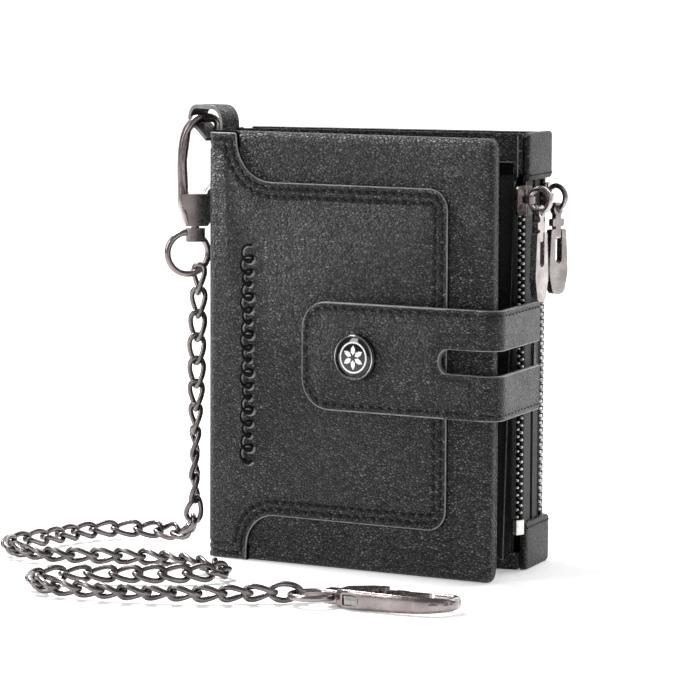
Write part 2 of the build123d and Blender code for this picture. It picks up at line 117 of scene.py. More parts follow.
def leather(name, dark, light, roughness=0.36, depth=0.0007, grain=1300.0, lean=40.0):
    """Pebbled leather: small cells stretched along a slant and broad creases in the bump. Its colour is
    painted highlight on the cells' tops and painted shade in their valleys, with random tone per cell and in
    broad patches.
    """
    material, shader, feed, add = new_material(name)
    place = add("TexCoord").outputs["Object"]
    drift = add("TexNoise", {"Vector": place}, Scale=300.0, Detail=3.0)
    warp = add("VectorMath", {0: drift.outputs["Color"]}, operation="SCALE", Scale=0.0018)
    bent = add("VectorMath", {0: place, 1: warp.outputs["Vector"]}, operation="ADD").outputs["Vector"]
    slant = add("Mapping", {"Vector": bent}, Rotation=(0.0, math.radians(lean), 0.0),
                Scale=(0.66, 1.0, 1.3)).outputs["Vector"]
    cells = add("TexVoronoi", {"Vector": slant}, Scale=grain, feature="DISTANCE_TO_EDGE")
    tone = add("TexVoronoi", {"Vector": slant}, Scale=grain)
    broad = add("TexNoise", {"Vector": place}, Scale=60.0, Detail=5.0, Roughness=0.6)
    patches = add("TexNoise", {"Vector": place}, Scale=26.0, Detail=3.0, Roughness=0.55)
    dome = ramp(add, cells.outputs["Distance"], [(0.0, 0.0), (0.1, 0.4), (0.24, 0.85), (0.5, 1.0)])
    height = add("Math", {0: broad.outputs["Fac"], 2: dome}, operation="MULTIPLY_ADD")
    height.inputs[1].default_value = 2.6  # how much the creases count beside the cells
    bump = add("Bump", {"Height": height.outputs["Value"]}, Strength=1.0, Distance=depth)
    feed("Normal", bump.outputs["Normal"])
    spread = add("SeparateColor", {"Color": tone.outputs["Color"]}).outputs["Red"]
    lit = ramp(add, spread, [(0.0, 0.3), (0.6, 0.62), (1.0, 1.0)])
    # the cells' height darkens their valleys and leaves their tops pale: painted shade and painted highlight
    shade = add("Math", {0: lit, 1: dome}, operation="MULTIPLY")
    drifted = ramp(add, patches.outputs["Fac"], [(0.3, 0.7), (0.7, 1.15)])
    tint = add("Math", {0: shade.outputs["Value"], 1: drifted}, operation="MULTIPLY")
    feed("Base Color", ramp(add, tint.outputs["Value"], [(0.0, dark), (1.0, light)]))
    gloss = ramp(add, broad.outputs["Fac"], [(0.3, roughness - 0.05), (0.7, roughness + 0.1)])
    feed("Roughness", gloss)
    shader.inputs["Specular IOR Level"].default_value = 0.3
    return material


def metal(name, colour, roughness, scratch=0.00002):
    """Plated metal with fine rubbed marks and uneven polish."""
    material, shader, feed, add = new_material(name)
    place = add("TexCoord").outputs["Object"]
    marks = add("TexNoise", {"Vector": place}, Scale=900.0, Detail=5.0, Roughness=0.65)
    cloud = add("TexNoise", {"Vector": place}, Scale=160.0, Detail=2.0)
    worn = [c * 0.62 for c in colour]
    feed("Base Color", ramp(add, cloud.outputs["Fac"], [(0.3, worn), (0.6, colour)]))
    polish = ramp(add, marks.outputs["Fac"], [(0.35, roughness), (0.75, roughness + 0.14)])
    feed("Roughness", polish)
    bump = add("Bump", {"Height": marks.outputs["Fac"]}, Strength=0.3, Distance=scratch)
    feed("Normal", bump.outputs["Normal"])
    shader.inputs["Metallic"].default_value = 1.0
    return material


def weave(name, dark, light, threads=2600.0, depth=0.00012):
    """Woven cloth: two crossed sets of threads."""
    material, shader, feed, add = new_material(name)
    place = add("TexCoord").outputs["Object"]
    across, along = [add("TexWave", {"Vector": place}, Scale=threads / 6.0, Distortion=0.6, Detail=1.0,
                         bands_direction=direction) for direction in ("Z", "DIAGONAL")]
    cross = add("Math", {0: across.outputs["Fac"], 1: along.outputs["Fac"]}, operation="MULTIPLY")
    feed("Base Color", ramp(add, cross.outputs["Value"], [(0.1, dark), (0.8, light)]))
    bump = add("Bump", {"Height": cross.outputs["Value"]}, Strength=0.9, Distance=depth)
    feed("Normal", bump.outputs["Normal"])
    shader.inputs["Roughness"].default_value = 0.88
    shader.inputs["Sheen Weight"].default_value = 0.15
    return material


def thread_material(name, dark, light):
    """Waxed sewing thread with its twist."""
    material, shader, feed, add = new_material(name)
    place = add("TexCoord").outputs["Object"]
    twist = add("TexWave", {"Vector": place}, Scale=900.0, Distortion=0.4, bands_direction="DIAGONAL")
    feed("Base Color", ramp(add, twist.outputs["Fac"], [(0.2, dark), (0.9, light)]))
    bump = add("Bump", {"Height": twist.outputs["Fac"]}, Strength=0.6, Distance=0.0001)
    feed("Normal", bump.outputs["Normal"])
    shader.inputs["Roughness"].default_value = 0.6
    shader.inputs["Specular IOR Level"].default_value = 0.25
    return material


def plain(name, dark, light, roughness, scale=300.0, shine=0.5):
    """A smooth coat with faint mottling."""
    material, shader, feed, add = new_material(name)
    place = add("TexCoord").outputs["Object"]
    cloud = add("TexNoise", {"Vector": place}, Scale=scale, Detail=4.0)
    feed("Base Color", ramp(add, cloud.outputs["Fac"], [(0.3, dark), (0.7, light)]))
    shader.inputs["Roughness"].default_value = roughness
    shader.inputs["Specular IOR Level"].default_value = shine
    return material


LEATHER = leather("leather", 0.003, 0.16)
INNER_LEATHER = leather("inner_leather", 0.003, 0.08, roughness=0.46)
# pale edge colour: the real cut edges, and painted highlight on rounded rims and beside the pressed scrolls
CUT_EDGE_AND_HIGHLIGHT = plain("cut_edge_and_highlight", 0.12, 0.22, 0.42)
# near-black: the pressed ornament's colour, and painted shade and shadow round the overlays, in the clasp
# window, card slot and hem
PRESSED_AND_SHADE = plain("pressed_leather_and_shade", 0.0005, 0.002, 0.6, shine=0.08)
GUNMETAL = metal("gunmetal", (0.33, 0.29, 0.285), 0.19)
CHAIN_METAL = metal("chain_metal", (0.19, 0.17, 0.168), 0.22)
SILVER = metal("tooth_metal", (0.72, 0.7, 0.68), 0.24)
DARK_METAL = metal("dark_metal", (0.06, 0.055, 0.055), 0.2)
PULL_METAL = metal("pull_metal", (0.5, 0.45, 0.445), 0.2)
SPRING_STEEL = metal("spring_steel", (0.5, 0.49, 0.48), 0.3)
TAPE = weave("zip_tape", 0.004, 0.016)
LINING = weave("lining", 0.006, 0.022, threads=1900.0)
BOARD = plain("board", 0.05, 0.09, 0.85)
THREAD = thread_material("thread", 0.001, 0.006)
ENAMEL = plain("enamel", 0.004, 0.007, 0.06)
WHITE_ENAMEL = plain("white_enamel", 0.75, 0.85, 0.3)

SLOT_MATERIALS = {
    "leather": LEATHER, "lining": LINING, "board": BOARD, "tape": TAPE, "teeth": SILVER, "enamel": ENAMEL,
    "gunmetal": GUNMETAL, "chain": CHAIN_METAL, "spring": SPRING_STEEL,
}


def place_object(name, data):
    """A new object with this data, in the scene."""
    thing = bpy.data.objects.new(name, data)
    bpy.context.scene.collection.objects.link(thing)
    return thing


# ---- Mesh helpers ----
STITCH_SIDES = STITCH_RINGS = 6
STITCH_ARCH, STITCH_SINK = 0.3, 0.22  # the thread's rise between its holes, and how deep it lies in them
STITCH_LEAN = 0.28  # how far each stitch turns from its row


def make_piece(name, points, faces, body, materials, marks=None, sharp=32.0):
    """A mesh from points in millimetres, shown on a body. marks gives each face's material."""
    mesh = bpy.data.meshes.new(name)
    mesh.from_pydata([Vector(p) * MM for p in points], [], faces)
    for material in materials:
        mesh.materials.append(material)
    if marks:
        mesh.polygons.foreach_set("material_index", marks)
    mesh.polygons.foreach_set("use_smooth", [True] * len(mesh.polygons))
    mesh.set_sharp_from_angle(angle=math.radians(sharp))
    mesh.update()
    piece = place_object(name, mesh)
    if body:
        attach(piece, body)
    return piece


def rectangle(x0, x1, z0, z1):
    return [(x0, z0), (x1, z0), (x1, z1), (x0, z1)]


def outline(corners, radii, inset=0.0, steps=7):
    """The corners, anticlockwise, moved inward and rounded. Each corner gives the same number of points."""
    count = len(corners)
    points = []
    for i, radius in enumerate(radii):
        here = Vector(corners[i])
        before = (here - Vector(corners[i - 1])).normalized()
        after = (Vector(corners[(i + 1) % count]) - here).normalized()
        turn = before.x * after.y - before.y * after.x
        half = before.angle(after) / 2
        bisector = (Vector((-before.y, before.x)) + Vector((-after.y, after.x))).normalized()
        corner = here + bisector * inset / math.cos(half)
        inner = max(0.03, radius - inset if turn > 0 else radius + inset)
        reach = inner * math.tan(half)
        side = 1 if turn > 0 else -1
        centre = corner - before * reach + Vector((-before.y, before.x)) * side * inner
        spoke = corner - before * reach - centre
        for k in range(steps + 1):
            angle = side * 2 * half * k / steps
            cosine, sine = math.cos(angle), math.sin(angle)
            points.append((centre.x + spoke.x * cosine - spoke.y * sine,
                           centre.y + spoke.x * sine + spoke.y * cosine))
    return points


def profile(thick, edge, seams=(), groove=0.22, shadow_ring=0.0):
    """Rings of a sewn leather panel, from its back over its rounded rim: (inset, height, material).

    Material 1 is the pale cut edge, and on the rim's rounded top it is a painted highlight. Material 2 is
    near-black: the flat ring laid round the panel is a painted shadow, and with that ring the panel's side is
    painted shade.
    """
    if shadow_ring:
        # the ring round the panel and the panel's side are near-black: painted shadow and painted shade
        rings = [(-shadow_ring, 0.0, 2), (-shadow_ring, 0.04, 2), (0.0, 0.04, 2), (0.0, thick - edge, 2)]
    else:
        rings = [(edge * 0.35, 0.0, 1), (0.0, edge * 0.4, 1), (0.0, thick - edge, 1)]
    # the rounded rim takes the pale edge colour: painted highlight
    for k in (1, 2, 3):
        angle = k * math.pi / 6
        rings.append((edge * (1 - math.cos(angle)), thick - edge * (1 - math.sin(angle)), 1))
    reach = edge
    for seam in seams:
        for shift, part in ((-0.8, 0.0), (-0.4, 0.75), (0.0, 1.0), (0.4, 0.75), (0.8, 0.0)):
            if seam + shift > reach:
                reach = seam + shift
                rings.append((reach, thick - groove * part, 0))
    return rings


def join_rings(faces, start, rings, size, wrap=False):
    """Adds the faces between rings of points that follow each other. With wrap, the last joins the first."""
    for ring in range(rings if wrap else rings - 1):
        low, high = start + ring * size, start + (ring + 1) % rings * size
        for i in range(size):
            j = (i + 1) % size
            faces.append((low + i, low + j, high + j, high + i))


def relief(name, corners, radii, rings, place, body, materials=(LEATHER, CUT_EDGE_AND_HIGHLIGHT, PRESSED_AND_SHADE),
           cuts=(), bend=None, ride=True):
    """A panel whose height follows rings inside its outline. It faces the place's -Y."""
    points, faces, marks = [], [], []
    for inset, height, _ in rings:
        points += [(x, -height, z) for x, z in outline(corners, radii, inset)]
    size = len(points) // len(rings)
    join_rings(faces, 0, len(rings), size)
    for _, _, mark in rings[1:]:
        marks += [min(len(materials) - 1, mark)] * size
    faces.append(tuple(range((len(rings) - 1) * size, len(rings) * size)))
    faces.append(tuple(reversed(range(size))))
    marks += [0, 0]
    piece = make_piece(name, points, faces, None, materials, marks)
    if cuts:
        cut_panel(piece.data, cuts)
    for vertex in piece.data.vertices:
        point = vertex.co / MM
        point = bend(point) if bend else point
        vertex.co = (place @ point) * MM
    piece.data.update()
    if ride:
        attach(piece, body)
    return piece


def cut_panel(mesh, cuts):
    """Adds edges across a mesh at given places along its local X, so that it can bend there."""
    work = bmesh.new()
    work.from_mesh(mesh)
    normal = Vector((1, 0, 0))
    for x in cuts:
        geometry = work.verts[:] + work.edges[:] + work.faces[:]
        bmesh.ops.bisect_plane(work, geom=geometry, plane_co=normal * x * MM, plane_no=normal, dist=1e-7)
    work.to_mesh(mesh)
    work.free()


def resample(line, pitch, closed):
    """Even places along a line of points, each with its direction."""
    line = [Vector(p) for p in line]
    if closed:
        line.append(line[0])
    lengths = [(b - a).length for a, b in zip(line, line[1:])]
    total = sum(lengths)
    count = max(1, round(total / pitch))
    places, walked, k = [], 0.0, 0
    for n in range(count):
        goal = (n + 0.5) * total / count
        while k < len(lengths) - 1 and walked + lengths[k] < goal:
            walked += lengths[k]
            k += 1
        share = (goal - walked) / max(lengths[k], 1e-9)
        places.append((line[k].lerp(line[k + 1], share), (line[k + 1] - line[k]).normalized()))
    return places


def add_stitch(points, faces, centre, along, across, out, length, width, height=0.0):
    """One stitch, a flattened thread that arches between its two holes and is thin at both."""
    start = len(points)
    for r in range(STITCH_RINGS + 1):
        share = r / STITCH_RINGS
        wide = width / 2 * math.sqrt(max(0.02, 1 - (2 * share - 1) ** 4))
        rise = height + STITCH_ARCH * math.sin(math.pi * share) - STITCH_SINK
        spot = centre + along * (share - 0.5) * length + out * rise
        for s in range(STITCH_SIDES):
            angle = 2 * math.pi * s / STITCH_SIDES
            points.append(spot + across * math.cos(angle) * wide + out * math.sin(angle) * wide * 0.8)
    join_rings(faces, start, STITCH_RINGS + 1, STITCH_SIDES)


def stitches(name, lines, place, body, height, pitch=3.0, length=1.9, width=0.86, closed=True, ride=True):
    """Rows of stitches at a height over the place's XZ plane, in which the lines lie."""
    points, faces = [], []
    for line in lines:
        flat = [Vector((p[0], 0, p[1])) for p in line]
        for centre, along in resample(flat, pitch, closed):
            along = (along + Vector((along.z, 0, -along.x)) * STITCH_LEAN).normalized()
            across = Vector((along.z, 0, -along.x))
            add_stitch(points, faces, centre, along, across, Vector((0, -1, 0)), length, width, height)
    points = [place @ p for p in points]
    return make_piece(name, points, faces, body if ride else None, (THREAD,), sharp=60)


def ring_line(corners, radii, inset):
    """A panel's outline moved inward, with more points at its corners, for a row of stitches."""
    return outline(corners, radii, inset, steps=10)


def smooth_path(corners, radii, steps):
    """Points along a polyline whose corners are rounded, in 2D or 3D."""
    corners = [Vector(c) for c in corners]
    points = [corners[0]]
    for i in range(1, len(corners) - 1):
        here = corners[i]
        before = (corners[i - 1] - here).normalized()
        after = (corners[i + 1] - here).normalized()
        half = before.angle(after) / 2
        reach = radii[i - 1] / math.tan(half)
        centre = here + (before + after).normalized() * radii[i - 1] / math.sin(half)
        first, last = here + before * reach - centre, here + after * reach - centre
        sweep = first.angle(last)
        for k in range(steps + 1):
            share = k / steps
            spoke = (first * math.sin((1 - share) * sweep) + last * math.sin(share * sweep)) / math.sin(sweep)
            points.append(centre + spoke)
    points.append(corners[-1])
    return points


def section_loop(half, thick, edge, steps=3):
    """A rounded strip's section: (across, out), anticlockwise, centred."""
    corners = rectangle(-half, half, -thick / 2, thick / 2)
    return outline(corners, [edge] * 4, steps=steps)


def ribbon(name, path, normals, loop, body, up, ride=True):
    """A leather strip swept along a path, with pale cut edges. The loop is (along up, along the normal)."""
    points, faces = [], []
    up = Vector(up)
    for point, normal in zip(path, normals):
        points += [Vector(point) + up * a + Vector(normal) * b for a, b in loop]
    size = len(loop)
    for level in range(len(path) - 1):
        for i in range(size):
            j = (i + 1) % size
            low, high = level * size, (level + 1) * size
            faces.append((low + i, high + i, high + j, low + j))
    faces.append(tuple(range(size)))
    faces.append(tuple(reversed(range((len(path) - 1) * size, len(path) * size))))
    piece = make_piece(name, points, faces, body if ride else None, (LEATHER, CUT_EDGE_AND_HIGHLIGHT))
    fix_normals(piece.data)
    for face in piece.data.polygons:
        face.material_index = 1 if abs(face.normal.dot(up)) > 0.55 else 0
    return piece


def fix_normals(mesh):
    """Turns every face outward."""
    work = bmesh.new()
    work.from_mesh(mesh)
    bmesh.ops.recalc_face_normals(work, faces=work.faces[:])
    work.to_mesh(mesh)
    work.free()


def side_normals(path, up=(0, 0, 1)):
    """Unit normals of a path, square to its direction and to up."""
    path = [Vector(p) for p in path]
    normals = []
    for i in range(len(path)):
        ahead, behind = path[min(i + 1, len(path) - 1)], path[max(i - 1, 0)]
        normals.append((ahead - behind).normalized().cross(Vector(up)).normalized())
    return normals


def tube(points, faces, path, radius, sides, closed=False):
    """Adds a round tube along a path to lists of points and faces. The radius may be a list too."""
    path = [Vector(p) for p in path]
    count = len(path)
    guide = None
    start = len(points)
    for i in range(count):
        ahead = path[(i + 1) % count] if closed else path[min(i + 1, count - 1)]
        behind = path[i - 1] if closed else path[max(i - 1, 0)]
        along = (ahead - behind).normalized()
        if guide is None:
            guide = along.orthogonal().normalized()
        guide = (guide - along * guide.dot(along)).normalized()
        other = along.cross(guide)
        size = radius[i] if isinstance(radius, (list, tuple)) else radius
        for s in range(sides):
            angle = 2 * math.pi * s / sides
            points.append(path[i] + guide * math.cos(angle) * size + other * math.sin(angle) * size)
    join_rings(faces, start, count, sides, wrap=closed)
    if not closed:
        faces.append(tuple(reversed(range(start, start + sides))))
        faces.append(tuple(range(start + (count - 1) * sides, start + count * sides)))


def tubes(name, lines, body, material, sides=8):
    """A piece made of round tubes: the lines are (path, radius) pairs."""
    points, faces = [], []
    for path, radius in lines:
        tube(points, faces, path, radius, sides)
    return make_piece(name, points, faces, body, (material,), sharp=60)


# ---- Camera ----
TARGET = Vector((-4.7, -17.8, 62.1)) * MM
DISTANCE = 1.150
AZIMUTH, ELEVATION, ROLL = math.radians(19.6), math.radians(5.6), math.radians(0.28)
LENS = 205.7


def make_camera():
    back = Vector((math.sin(AZIMUTH) * math.cos(ELEVATION), -math.cos(AZIMUTH) * math.cos(ELEVATION),
                   math.sin(ELEVATION)))
    right = Vector((math.cos(AZIMUTH), math.sin(AZIMUTH), 0))
    up = back.cross(right)
    x_axis = right * math.cos(ROLL) + up * math.sin(ROLL)
    y_axis = up * math.cos(ROLL) - right * math.sin(ROLL)
    data = bpy.data.cameras.new("camera")
    data.lens = LENS
    data.sensor_width = 36.0
    camera = place_object("camera", data)
    turn = Matrix((x_axis, y_axis, back)).transposed().to_4x4()
    camera.matrix_world = Matrix.Translation(TARGET + back * DISTANCE) @ turn
    bpy.context.scene.camera = camera


make_camera()

# ---- Chain ----
CHAIN_WIRE = 0.8  # radius of a link's wire
CHAIN_WIDTH = 6.1
LINK_PITCH = 6.85  # about this far from link to link, so that a whole number fits
LINK_JOLT = 0.12  # how far a link may lie off the line
LIE_BELOW, HANG_ABOVE = 8.0, 20.0  # heights between which the links turn from lying to hanging
HOOK_REACH = 1.0  # how far the end links reach past the route, into the clasps' rings
END_REACH = 2.3
LINK_TWIST = math.radians(43)
CHAIN_ROUTE = [
    (-54.9, -9.1, 79.4), (-55.9, -8.7, 53.2), (-56.6, -8.2, 25.6), (-56.9, -7.2, 11.6),
    (-61.0, -1.2, 4.2), (-68.2, 4.4, 3.2), (-78.4, 6.8, 3.2), (-88.4, 3.4, 3.2),
    (-94.8, -6.6, 3.2), (-98.2, -19.4, 3.2), (-103.2, -30.2, 3.2), (-102.4, -42.0, 3.2),
    (-93.2, -49.4, 3.2), (-80.2, -52.0, 3.2), (-66.2, -47.4, 3.2), (-52.4, -46.0, 3.2),
    (-39.6, -50.2, 3.2), (-29.6, -55.0, 3.2), (-25.8, -64.0, 3.2), (-33.6, -71.0, 3.2),
    (-46.4, -76.6, 3.2), (-59.4, -79.8, 3.2), (-68.2, -85.6, 3.2), (-69.8, -96.0, 3.2),
    (-63.2, -104.6, 3.2), (-51.4, -106.6, 3.2), (-38.0, -107.8, 3.2), (-24.6, -104.6, 3.2),
    (-13.2, -101.6, 3.2), (-5.4, -96.8, 3.2), (1.4, -92.9, 3.2),
]


def route_line():
    """Points read from the route's smooth spline, in millimetres."""
    curve = bpy.data.curves.new("chain_route", "CURVE")
    curve.dimensions = "3D"
    curve.resolution_u = 12
    spline = curve.splines.new("NURBS")
    spline.points.add(len(CHAIN_ROUTE) - 1)
    for point, place in zip(spline.points, CHAIN_ROUTE):
        point.co = (*(Vector(place) * MM), 1)
    spline.order_u = 3
    spline.use_endpoint_u = True
    holder = bpy.data.objects.new("chain_route", curve)
    mesh = bpy.data.meshes.new_from_object(holder)
    line = [v.co / MM for v in mesh.vertices]
    bpy.data.objects.remove(holder)
    bpy.data.meshes.remove(mesh)
    return line


def link_line(half_length, half_width, twist, steps=28):
    """One link's wire: an oval, its two ends turned opposite ways about its length."""
    line = []
    for k in range(steps):
        t = 2 * math.pi * k / steps
        power = 0.82
        x = half_length * math.copysign(abs(math.cos(t)) ** power, math.cos(t))
        y = half_width * math.copysign(abs(math.sin(t)) ** power, math.sin(t))
        angle = twist * x / half_length
        line.append(Vector((x, y * math.cos(angle), y * math.sin(angle))))
    return line


def make_chain():
    """Twisted links along the route. On the floor each leans against the next."""
    line = route_line()
    length = sum((b - a).length for a, b in zip(line, line[1:]))
    first, last = -HOOK_REACH, length + END_REACH
    count = round((last - first) / LINK_PITCH)
    pitch = (last - first) / count
    half_length = (pitch + 2 * CHAIN_WIRE) / 2
    half_width = CHAIN_WIDTH / 2 - CHAIN_WIRE
    wire = link_line(half_length, half_width, LINK_TWIST)
    walked = [0.0]
    for a, b in zip(line, line[1:]):
        walked.append(walked[-1] + (b - a).length)

    def at(distance):
        if distance < 0:
            return line[0] + (line[0] - line[1]).normalized() * -distance
        if distance > length:
            return line[-1] + (line[-1] - line[-2]).normalized() * (distance - length)
        k = next((i for i in range(len(walked) - 2) if walked[i + 1] >= distance), len(walked) - 2)
        share = (distance - walked[k]) / max(walked[k + 1] - walked[k], 1e-9)
        return line[k].lerp(line[k + 1], share)

    points, faces = [], []
    for n in range(count + 1):
        distance = first + n * pitch
        centre = at(distance)
        along = (at(distance + pitch / 2) - at(distance - pitch / 2)).normalized()
        hanging = min(1.0, max(0.0, (centre.z - LIE_BELOW) / (HANG_ABOVE - LIE_BELOW)))
        swing = 0.6 * math.sin(n * 0.55) + 0.9
        level = Vector((math.cos(swing), math.sin(swing), 0))
        side = Vector((0, 0, 1)).cross(along)
        lean = math.radians(50 + 8 * math.sin(n * 0.8) + dice.uniform(-4, 4))
        lying = level
        if side.length > 0.05:
            lying = side.normalized() * math.cos(lean) + Vector((0, 0, 1)) * math.sin(lean)
        flat = lying.lerp(level, hanging)
        if n == count:
            flat = side.normalized()
        flat = (flat - along * flat.dot(along)).normalized()
        wide = flat.cross(along)
        shift = Vector((dice.uniform(-LINK_JOLT, LINK_JOLT), dice.uniform(-LINK_JOLT, LINK_JOLT), 0))
        ring = [centre + shift + along * p.x + wide * p.y + flat * p.z for p in wire]
        tube(points, faces, ring, CHAIN_WIRE, closed=True, sides=10)
    piece = make_piece("chain_links", points, faces, "front", (CHAIN_METAL,), sharp=60)
    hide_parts("chain")
    return piece, [at(first)] + line + [at(last)]


chain, chain_line = make_chain()


# ---- Clasps ----
def clasp_place(origin, x_axis, z_axis):
    """A clasp's frame, from its ring: local X towards its tip, local Z through its thickness."""
    x_axis, z_axis = Vector(x_axis), Vector(z_axis)
    turn = Matrix((x_axis, z_axis.cross(x_axis), z_axis)).transposed().to_4x4()
    return Matrix.Translation(origin) @ turn


HOOK_TURN, END_TURN = math.radians(35.0), math.radians(-8.0)
# Each clasp's place, and the half widths of its back at the points of CLASP_BACK.
CLASPS = {
    "hook": (clasp_place((-55.1, -9.0, 88.0), (0, 0, 1), (-math.sin(HOOK_TURN), math.cos(HOOK_TURN), 0)),
             (2.5, 2.6, 2.3, 1.7, 1.5, 1.7, 2.1, 2.2, 1.6)),
    "end": (clasp_place((11.8, -88.6, 2.8), (math.cos(END_TURN), math.sin(END_TURN), 0), (0, 0, 1)),
            (2.5, 2.7, 2.7, 2.6, 2.5, 2.3, 2.0, 1.7, 1.2)),
}
CLASP_BACK = [(8.1, -3.5), (12.0, -4.6), (15.5, -5.0), (20.0, -5.1), (27.0, -5.2), (33.0, -4.6), (37.2, -2.9),
              (39.9, 0.2), (39.7, 4.6)]
CLASP_THICK = (0.9, 1.1, 1.15, 1.1, 1.05, 1.05, 1.1, 1.15, 0.9)  # half thicknesses at the same points
SPRING_ENDS = Vector((18.0, 1.4, 0)), Vector((20.6, 3.9, 0))


def coil_line(first, last, across, other, turn, count):
    """A spring's wire from first to last. The turn is the angle from each point to the next."""
    return [first.lerp(last, k / count) + across * math.cos(k * turn) + other * math.sin(k * turn)
            for k in range(count + 1)]


def make_clasp(prefix):
    """The clasp's cast back, on a smooth line through CLASP_BACK's points, and the gate's coil spring."""
    place, widths = CLASPS[prefix]
    points, faces = [], []
    around, fine = 24, 6
    spine, sizes = [], []
    for k in range(len(CLASP_BACK) - 1):
        before, after = CLASP_BACK[max(k - 1, 0)], CLASP_BACK[min(k + 2, len(CLASP_BACK) - 1)]
        here, there = CLASP_BACK[k], CLASP_BACK[k + 1]
        for n in range(fine if k < len(CLASP_BACK) - 2 else fine + 1):
            t = n / fine
            spot = [0.5 * (2 * h + (e - b) * t + (2 * b - 5 * h + 4 * e - a) * t * t
                           + (3 * h - b - 3 * e + a) * t ** 3)
                    for b, h, e, a in zip(before, here, there, after)]
            spine.append(Vector((*spot, 0)))
            sizes.append((widths[k] + (widths[k + 1] - widths[k]) * t,
                          CLASP_THICK[k] + (CLASP_THICK[k + 1] - CLASP_THICK[k]) * t))
    for normal, spot, (wide, thick) in zip(side_normals(spine), spine, sizes):
        for s in range(around):
            angle = 2 * math.pi * s / around
            c, n = math.cos(angle), math.sin(angle)
            points.append(place @ (spot + Vector((0, 0, 1)) * wide * math.copysign(abs(c) ** 0.55, c)
                                   + normal * thick * math.copysign(abs(n) ** 0.75, n)))
    join_rings(faces, 0, len(spine), around)
    faces.append(tuple(range(around)))
    faces.append(tuple(range((len(spine) - 1) * around, len(spine) * around)))
    back = make_piece(prefix + "_back", points, faces, "front", (GUNMETAL,), sharp=50)
    fix_normals(back.data)
    first, last = SPRING_ENDS
    along = (last - first).normalized()
    across = along.cross(Vector((0, 0, 1)))
    coil = coil_line(first.lerp(last, 0.05), first.lerp(last, 0.93), across * 0.5, Vector((0, 0, 0.5)),
                     turn=0.52, count=72)
    wire = [([place @ p for p in coil], 0.1)]
    spring = tubes(prefix + "_coil", wire, "front", SPRING_STEEL, sides=6)
    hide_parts(prefix + "_spring")
    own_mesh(spring)


def make_window(prefix):
    """The opening in the end clasp's base, with the spring showing through it."""
    place = CLASPS[prefix][0]
    coil = coil_line(Vector((11.0, -6.1, 0)), Vector((15.0, -6.1, 0)), Vector((0, 0, 1.1)),
                     Vector((0, 0.2, 0)), turn=1.05, count=60)
    tubes(prefix + "_window_coil", [([place @ p for p in coil], 0.2)], "front", SPRING_STEEL)
    # the window's floor is near-black: painted shade inside the opening
    rings = [(-0.5, 0.0, 1), (-0.5, 0.34, 1), (0.0, 0.34, 1), (0.05, 0.12, 0)]
    relief(prefix + "_window", rectangle(10.4, 15.6, -1.5, 1.5), [0.4] * 4, rings,
           place @ Matrix.Translation((0, -5.75, 0)), "front", materials=(PRESSED_AND_SHADE, GUNMETAL))


for prefix in CLASPS:
    make_clasp(prefix)
make_window("end")

[p * MM for p in chain_line]

for row in frame["record"]["subparts"]:
    node = frame["nodes"][row["node"]]
    node.data.materials.clear()
    pull = row["node"].startswith("pull_")
    node.data.materials.append(PULL_METAL if pull else SLOT_MATERIALS[row["material_slot"]])


# ---- Front cover ----
COVER_END = 94.6  # the cover's free edge, from the spine
COVER_RISE = 0.5  # how far the drawn leather stands above the cover's height
COVER_BODY = 3.4  # leather, board and turned-in edge together
OVERLAY = 1.0  # how far the sewn-on leather stands proud
SEAMS = (1.9, 4.2)  # the two rows of stitches, from the overlays' edge
# the overlays' rings: a near-black ring round them as painted shadow, painted shade on their side, painted
# highlight on their rounded rim
OVERLAY_RINGS = profile(OVERLAY, edge=0.32, seams=SEAMS, groove=0.3, shadow_ring=0.5)
SPINE_BEND = 2.6  # radius of the spine's leather at the cover


def make_cover():
    """The cover's padded leather, with its turned and rounded rim."""
    corners = rectangle(4.5, COVER_END, 0, COVER_HEIGHT + COVER_RISE)
    rings = [(inset, height, 0) for inset, height, _ in profile(COVER_BODY, edge=1.35)]
    rings += [(2.6, COVER_BODY + 0.05, 0), (5.0, COVER_BODY + 0.1, 0)]
    place = FRONT @ Matrix.Translation((0, COVER_BODY + 0.05, 0))
    cover = relief("cover_leather", corners, [0.3, 2.2, 2.4, 0.3], rings, place, "front")
    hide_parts("front_cover", "cover_stiffener")


OVERLAY_LEFT = -24.6  # where the overlay leather ends, along the spine's outside
OVERLAY_LOW, OVERLAY_HIGH = 13.6, 110.2
OVERLAY_CORNERS = [(OVERLAY_LEFT, 0.0), (12.8, 0.0), (13.4, OVERLAY_LOW), (80.6, OVERLAY_LOW),
                   (80.6, OVERLAY_HIGH), (9.9, OVERLAY_HIGH), (9.2, COVER_HEIGHT),
                   (OVERLAY_LEFT, COVER_HEIGHT)]
OVERLAY_RADII = [0.3, 0.8, 9.5, 6.0, 6.0, 12.0, 0.8, 0.3]


def round_spine(point):
    """Turns the overlay's leather from the cover's face onto the spine."""
    u, out, z = point.x, -point.y, point.z
    quarter = math.pi / 2 - AJAR
    arc = SPINE_BEND * quarter
    tangent = SPINE_BEND * math.tan(quarter / 2)
    if u >= tangent:
        return Vector((u, -out, z))
    centre = Vector((tangent, SPINE_BEND, 0))
    if u > tangent - arc:
        angle = (tangent - u) / SPINE_BEND
        radius = SPINE_BEND + out
        return centre + Vector((-math.sin(angle) * radius, -math.cos(angle) * radius, z))
    rest = tangent - arc - u
    radius = SPINE_BEND + out
    corner = centre + Vector((-math.sin(quarter) * radius, -math.cos(quarter) * radius, z))
    return corner + Vector((-math.cos(quarter), math.sin(quarter), 0)) * rest


